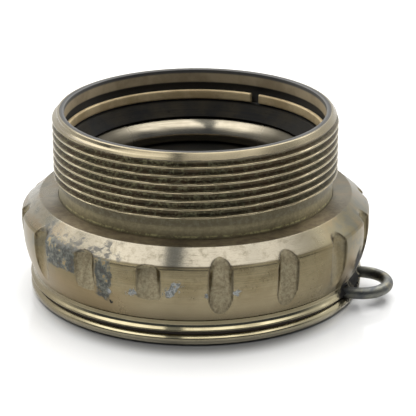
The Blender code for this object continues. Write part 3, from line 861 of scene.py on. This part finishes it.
def collar_material():
    wear = {"patina": 0.7, "anisotropy": 1.0, "lines": 0.5, "pits": 0.05}
    nodes = turned_metal("collar_worn", (0.272, 0.23, 0.14), (0.2, 0.158, 0.084), 0.24, **wear)
    # Polished chamfer, scratches and a fine mottle.
    polish = nodes.ramp(nodes.z, CHAMFER_FOOT_Z - 0.1, CHAMFER_FOOT_Z + 0.1)
    coat(nodes, nodes.times(polish, 0.8), (0.285, 0.262, 0.215), 0.17)
    unrolled = nodes.join(nodes.times(nodes.azimuth, 0.06), nodes.z, nodes.radius)
    scratch = nodes.noise(unrolled, 7.0, 4.0, 0.7)
    coat(nodes, nodes.times(nodes.ramp(scratch, 0.52, 0.68), 0.3), (0.14, 0.12, 0.085), 0.3)
    mottle = nodes.noise(nodes.place, 900.0, 5.0, 0.75)
    coat(nodes, nodes.times(nodes.ramp(mottle, 0.48, 0.7), 0.38), (0.13, 0.105, 0.06), 0.34)
    # The flank is darker away from the front by painted shade, paler low in front by a painted reflection
    # of the floor, and warm low at the left.
    turn = nodes.math("ABSOLUTE", nodes.azimuth)
    flank_side = nodes.ramp(turn, 42.0, 62.0)
    cloud = nodes.noise(nodes.place, 330.0, 4.0, 0.6)
    side_shade = nodes.times(nodes.ramp(turn, 18.0, 55.0, 0.0, 0.75), nodes.ramp(nodes.z, -1.0, -2.0, 0.3, 1.0))
    coat(nodes, side_shade, (0.16, 0.128, 0.065), 0.3)
    # Painted reflection of the lit floor: paler low on the flank in front.
    low = nodes.times(nodes.ramp(nodes.z, -4.0, -8.5), nodes.ramp(turn, 46.0, 20.0, 0.0, 0.75))
    coat(nodes, low, (0.36, 0.3, 0.19), 0.26)
    # Painted shade: the chamfer darker at the right.
    right_chamfer_shade = nodes.times(nodes.ramp(nodes.azimuth, 30.0, 52.0), polish)
    coat(nodes, nodes.times(right_chamfer_shade, 0.75), (0.135, 0.115, 0.062), 0.3)
    rusty = nodes.times(nodes.ramp(cloud, 0.52, 0.6), flank_side)
    coat(nodes, nodes.times(rusty, 0.4), (0.24, 0.165, 0.085), 0.3)
    bluish = nodes.times(nodes.ramp(cloud, 0.48, 0.41), flank_side)
    coat(nodes, nodes.times(bluish, 0.38), (0.1, 0.11, 0.1), 0.35)
    warm = nodes.times(nodes.ramp(nodes.z, -4.5, -7.0), nodes.ramp(nodes.azimuth, -14.0, -32.0, 0.0, 0.55))
    coat(nodes, warm, (0.25, 0.18, 0.09), 0.3)
    # The shoulder darker brown, most towards the front, and a dark line at the chamfer's foot.
    on_shoulder = nodes.times(nodes.ramp(nodes.z, -0.12, -0.02), nodes.ramp(nodes.radius, 21.05, 20.85))
    shoulder_darkening = nodes.times(on_shoulder, nodes.ramp(turn, 84.0, 64.0, 0.3, 0.9))
    shoulder_brown = nodes.mix(nodes.ramp(mottle, 0.4, 0.6), (0.08, 0.058, 0.032), (0.145, 0.115, 0.065))
    coat(nodes, shoulder_darkening, shoulder_brown, 0.4)
    line = window(nodes, nodes.z, CHAMFER_FOOT_Z - 0.13, CHAMFER_FOOT_Z + 0.02, 0.06)
    line = nodes.times(line, nodes.ramp(turn, 25.0, 5.0, 0.25, 0.75))
    coat(nodes, line, (0.05, 0.04, 0.03), 0.4)
    # Grainy floors of the flutes, with dark edges of dirt and painted shade of the steep walls.
    flute = mark(nodes, "flute")
    grain = nodes.noise(nodes.place, 2300.0, 4.0, 0.8)
    floor_tone = nodes.mix(nodes.ramp(grain, 0.36, 0.64), (0.29, 0.24, 0.15), (0.48, 0.42, 0.28))
    pale = nodes.times(flute, nodes.ramp(turn, 42.0, 52.0, 0.9, 0.25))
    coat(nodes, pale, floor_tone, 0.5)
    coat(nodes, nodes.times(mark(nodes, "flute_edge"), 0.75), (0.035, 0.024, 0.016), 0.6)
    # The stain, which leaves the flutes out, and its broken continuation on the chamfer.
    ragged = nodes.noise(nodes.place, *RAGGED)
    fleck = nodes.noise(nodes.place, 1100.0, 3.0, 0.7)
    grey = nodes.mix(nodes.ramp(fleck, 0.4, 0.62), (0.055, 0.06, 0.06), (0.2, 0.21, 0.175))
    grey = nodes.mix(nodes.ramp(fleck, 0.58, 0.63), grey, (0.36, 0.27, 0.13))
    left = region(nodes, *STAIN_PATCH, ragged, 3.0)
    strip = region(nodes, *STAIN_STRIP, ragged, 6.0)
    stain = nodes.larger(left, strip)
    stain = nodes.times(stain, nodes.ramp(fleck, 0.3, 0.42, 0.5, 1.0))
    stain = nodes.times(stain, nodes.minus(1.0, flute))
    coat(nodes, nodes.times(stain, 0.9), grey, 0.5, 0.35)
    upper = region(nodes, *STAIN_CHAMFER, ragged, 2.0)
    upper = nodes.times(upper, nodes.ramp(ragged, 0.47, 0.58))
    upper = nodes.times(upper, nodes.ramp(fleck, 0.42, 0.54, 0.15, 1.0))
    coat(nodes, nodes.times(upper, 0.75), (0.1, 0.1, 0.095), 0.4, 0.7)
    # Spots: crusts, nick, and the painted shadow and reflection of the wire eye.
    crust = blots(nodes, CRUSTS, FLANK_SPOT_RADIUS + 0.4, fleck, 6.0)
    white = nodes.mix(nodes.ramp(grain, 0.42, 0.58), (0.16, 0.17, 0.165), (0.48, 0.5, 0.49))
    coat(nodes, nodes.times(crust, 0.9), white, 0.7, 0.1)
    coat(nodes, blots(nodes, [NICK], FLANK_SPOT_RADIUS - 0.1, fleck, 4.0), (0.01, 0.011, 0.013), 0.6, 0.2)
    wire_shade = blots(nodes, EYE_SHADOW_REFLECTION, FLANK_SPOT_RADIUS, ragged, 3.0, 0.55)
    coat(nodes, nodes.times(wire_shade, 0.97), PAINTED_SHADE_BLACK, 0.8, 1.0)
    return close(nodes)


def swivel_material():
    wear = {"patina": 0.5, "anisotropy": 0.9, "lines": 0.25, "pits": 0.05}
    nodes = turned_metal("swivel_worn", (0.36, 0.32, 0.21), (0.25, 0.21, 0.125), 0.11, **wear)
    band_tone = window(nodes, nodes.z, -10.15, -9.5, 0.06)
    coat(nodes, nodes.times(band_tone, 0.5), (0.19, 0.155, 0.085), 0.35)
    # Painted reflection of the bright floor: the foot of the lower bead paler.
    foot_reflection = nodes.ramp(nodes.z, LOWER_BEAD_FOOT_Z + 0.4, LOWER_BEAD_FOOT_Z, 0.0, 0.8)
    coat(nodes, foot_reflection, (0.6, 0.55, 0.42), 0.2)
    coat(nodes, nodes.ramp(nodes.azimuth, -34.0, -62.0, 0.0, 0.7), (0.15, 0.12, 0.07), 0.3)
    valley = window(nodes, nodes.z, VALLEY_FOOT_Z - 0.01, VALLEY_TOP_Z + 0.05, 0.05)
    valley = nodes.times(valley, nodes.ramp(nodes.radius, VALLEY_RADIUS + 0.45, VALLEY_RADIUS + 0.15))
    coat(nodes, nodes.times(valley, 0.9), (0.045, 0.034, 0.03), 0.5, 0.6)
    ragged = nodes.noise(nodes.place, *RAGGED)
    # Painted shadow round the legs of the wire eye.
    wire_shade = blots(nodes, LEG_SHADOW, RING_SPOT_RADIUS, ragged, 3.0)
    soft_wire_shade = blots(nodes, [LEG_SOFT_SHADOW], RING_SPOT_RADIUS + 0.2, ragged, 3.0, 0.5)
    coat(nodes, nodes.times(nodes.larger(wire_shade, soft_wire_shade), 0.97), PAINTED_SHADE_BLACK, 0.8, 1.0)
    return close(nodes)


def tarnished_metal(name, base, shade, roughness):
    """Brown oxide over the metal, which scatters light as well as mirroring it."""
    nodes = turned_metal(name, base, shade, roughness, slant=1.0, pits=0.05)
    oxide = nodes.mix(nodes.ramp(nodes.patch, 0.4, 0.6), base, shade)
    coat(nodes, 0.9, oxide, roughness, 0.2)
    return close(nodes)


def wire_material():
    wear = {"patina": 0.9, "anisotropy": 0.0, "lines": 0.2, "pits": 0.1}
    nodes = turned_metal("wire_dark", (0.24, 0.235, 0.19), (0.085, 0.09, 0.095), 0.45, **wear)
    worn = nodes.noise(nodes.place, 500.0, 3.0, 0.6)
    coat(nodes, nodes.times(nodes.ramp(worn, 0.52, 0.66), 0.7), (0.22, 0.19, 0.12), 0.3)
    return close(nodes)


def seat_material():
    """Polished cone, darkened by painted shade towards the viewer's sides of the bore."""
    wear = {"slant": 1.0, "anisotropy": 0.9, "lines": 0.4, "pits": 0.05}
    nodes = turned_metal("seat_bright", (0.33, 0.297, 0.23), (0.23, 0.2, 0.145), 0.18, **wear)
    from_back = nodes.minus(180.0, nodes.math("ABSOLUTE", nodes.azimuth))
    coat(nodes, nodes.ramp(from_back, 26.0, 56.0, 0.0, 0.92), (0.035, 0.03, 0.02), 0.4)
    return close(nodes)


def glass_material(name, tint):
    nodes = Nodes(name)
    shader = nodes.shader
    film = nodes.noise(nodes.place, 220.0, 4.0, 0.6)
    dust = nodes.noise(nodes.place, 3500.0, 2.0, 0.5)
    rough = nodes.plus(0.02, nodes.times(nodes.ramp(film, 0.45, 0.8), 0.08))
    rough = nodes.plus(rough, nodes.times(nodes.ramp(dust, 0.7, 0.75), 0.3))
    nodes.put(shader.inputs["Roughness"], rough)
    veiled = tuple(0.9 * part for part in tint)
    nodes.put(shader.inputs["Base Color"], nodes.mix(nodes.ramp(film, 0.4, 0.8), tint, veiled))
    shader.inputs["Transmission Weight"].default_value = 1.0
    shader.inputs["IOR"].default_value = 1.52
    return nodes.material


# ---------------------------------------------------------------- stage

def make_camera():
    """The photograph's viewpoint: a long lens, a little above the part."""
    data = bpy.data.cameras.new("camera")
    data.lens = CAMERA_LENS
    data.sensor_width = CAMERA_SENSOR
    data.clip_start = 0.01
    camera = bpy.data.objects.new("camera", data)
    bpy.context.scene.collection.objects.link(camera)
    camera.location = CAMERA_PLACE
    camera.rotation_euler = (math.pi / 2 - CAMERA_PITCH, CAMERA_ROLL, -CAMERA_YAW)
    bpy.context.scene.camera = camera


def make_floor():
    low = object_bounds()[0]
    bpy.ops.mesh.primitive_plane_add(size=FLOOR_SIZE, location=(0, 0, low[2]))
    floor = bpy.context.object
    floor.name = "floor"
    nodes = Nodes("floor_white")
    grain = nodes.noise(nodes.place, 40.0, 2.0, 0.5)
    x, y, _ = nodes.axes()
    forward = nodes.plus(y, CONTACT_SHADOW_SHIFT)
    squares = nodes.plus(nodes.times(x, x), nodes.times(forward, forward))
    away = nodes.math("SQRT", squares)
    white = nodes.mix(grain, (0.87, 0.87, 0.87), (0.88, 0.88, 0.88))
    # Painted contact shadow: the floor darkens towards the part's foot, more in front.
    shade = nodes.ramp(away, CONTACT_SHADOW_INNER, CONTACT_SHADOW_OUTER)
    nodes.put(nodes.shader.inputs["Base Color"], nodes.mix(shade, (0.25, 0.25, 0.25), white))
    nodes.shader.inputs["Roughness"].default_value = 0.1
    nodes.shader.inputs["IOR"].default_value = 1.6
    floor.data.materials.append(nodes.material)


def make_sky():
    """Soft boxes overhead with narrow gaps, a pale back, and a darker room on the viewer's side.

    across and ahead are the sideways and the far part of a direction for each unit that it rises.
    """
    world = bpy.data.worlds.new("studio")
    bpy.context.scene.world = world
    world.use_nodes = True
    tree = world.node_tree
    helper = Nodes(tree=tree)
    direction = helper.add("ShaderNodeTexCoord").outputs["Generated"]
    split = helper.add("ShaderNodeSeparateXYZ")
    helper.put(split.inputs[0], direction)
    x, y, z = split.outputs
    height = helper.larger(z, 0.02)
    across = helper.over(x, height)
    ahead = helper.over(y, height)
    roof = helper.times(helper.ramp(ahead, -0.95, -0.1), helper.ramp(ahead, 0.8, 0.4))
    roof = helper.times(roof, helper.ramp(across, -1.15, -0.8))
    roof = helper.times(roof, helper.ramp(across, 1.0, 0.5))
    gap_centre = helper.plus(-0.115, helper.times(ahead, 0.2))
    off_gap = helper.math("ABSOLUTE", helper.minus(across, gap_centre))
    gap = helper.ramp(off_gap, 0.08, 0.07)
    off_thin_gap = helper.math("ABSOLUTE", helper.minus(across, 0.43))
    thin_gap = helper.times(helper.ramp(off_thin_gap, 0.08, 0.03), 0.45)
    shut = helper.larger(gap, thin_gap)
    walls = helper.mix(helper.ramp(y, -0.35, 0.4), FRONT_LIGHT, BACK_LIGHT)
    boxes = helper.mix(shut, BOX_LIGHT, GAP_LIGHT)
    light = helper.mix(roof, walls, boxes)
    strip = helper.times(helper.ramp(ahead, 0.45, 0.6), helper.ramp(ahead, 1.5, 1.2))
    strip = helper.times(strip, helper.ramp(helper.math("ABSOLUTE", across), 1.2, 1.0))
    light = helper.mix(helper.times(strip, helper.ramp(z, 0.05, 0.1)), light, STRIP_LIGHT)
    background = tree.nodes["Background"]
    helper.put(background.inputs["Color"], light)
    background.inputs["Strength"].default_value = 1.0


def dress(piece, node, body, material):
    piece.data.materials.clear()
    piece.data.materials.append(material)
    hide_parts(node)
    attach(piece, body)


make_camera()
make_floor()
make_sky()
scene = bpy.context.scene
scene.view_settings.view_transform = "Standard"

dress(make_barrel(), "threaded_barrel", "lens_body", barrel_material())
dress(make_collar(), "grip_collar", "lens_body", collar_material())
dress(make_swivel_ring(), "swivel_ring", "swivel", swivel_material())
dress(make_eye(), "lanyard_eye", "swivel", wire_material())
inner = tarnished_metal("inner_brown", (0.72, 0.57, 0.33), (0.52, 0.39, 0.21), 0.4)
dress(make_spring_ring(), "spring_ring", "lens_body", inner)
soot = {"slant": 1.0, "anisotropy": 0.3}
black = close(turned_metal("blackened", (0.009, 0.009, 0.009), (0.03, 0.025, 0.016), 0.5, **soot))
dress(make_baffle(), "baffle_ring", "lens_body", black)
dress(make_seat(), "seat_ring", "lens_body", seat_material())
dress(make_stop(), "stop_plate", "lens_body", black)
dress(make_spacer(), "spacer_ring", "lens_body", black)
dress(make_retainer(), "retaining_ring", "lens_body", inner)
bezel_metal = close(turned_metal("bezel_worn", (0.33, 0.285, 0.19), (0.18, 0.14, 0.08), 0.3))
dress(make_bezel(), "front_bezel", "lens_body", bezel_metal)
flint_glass = glass_material("flint_clear", (0.93, 0.95, 0.9))
dress(make_flint(), "rear_flint", "lens_body", flint_glass)
crown_glass = glass_material("crown_clear", (0.95, 0.97, 0.95))
dress(make_crown(), "front_crown", "lens_body", crown_glass)
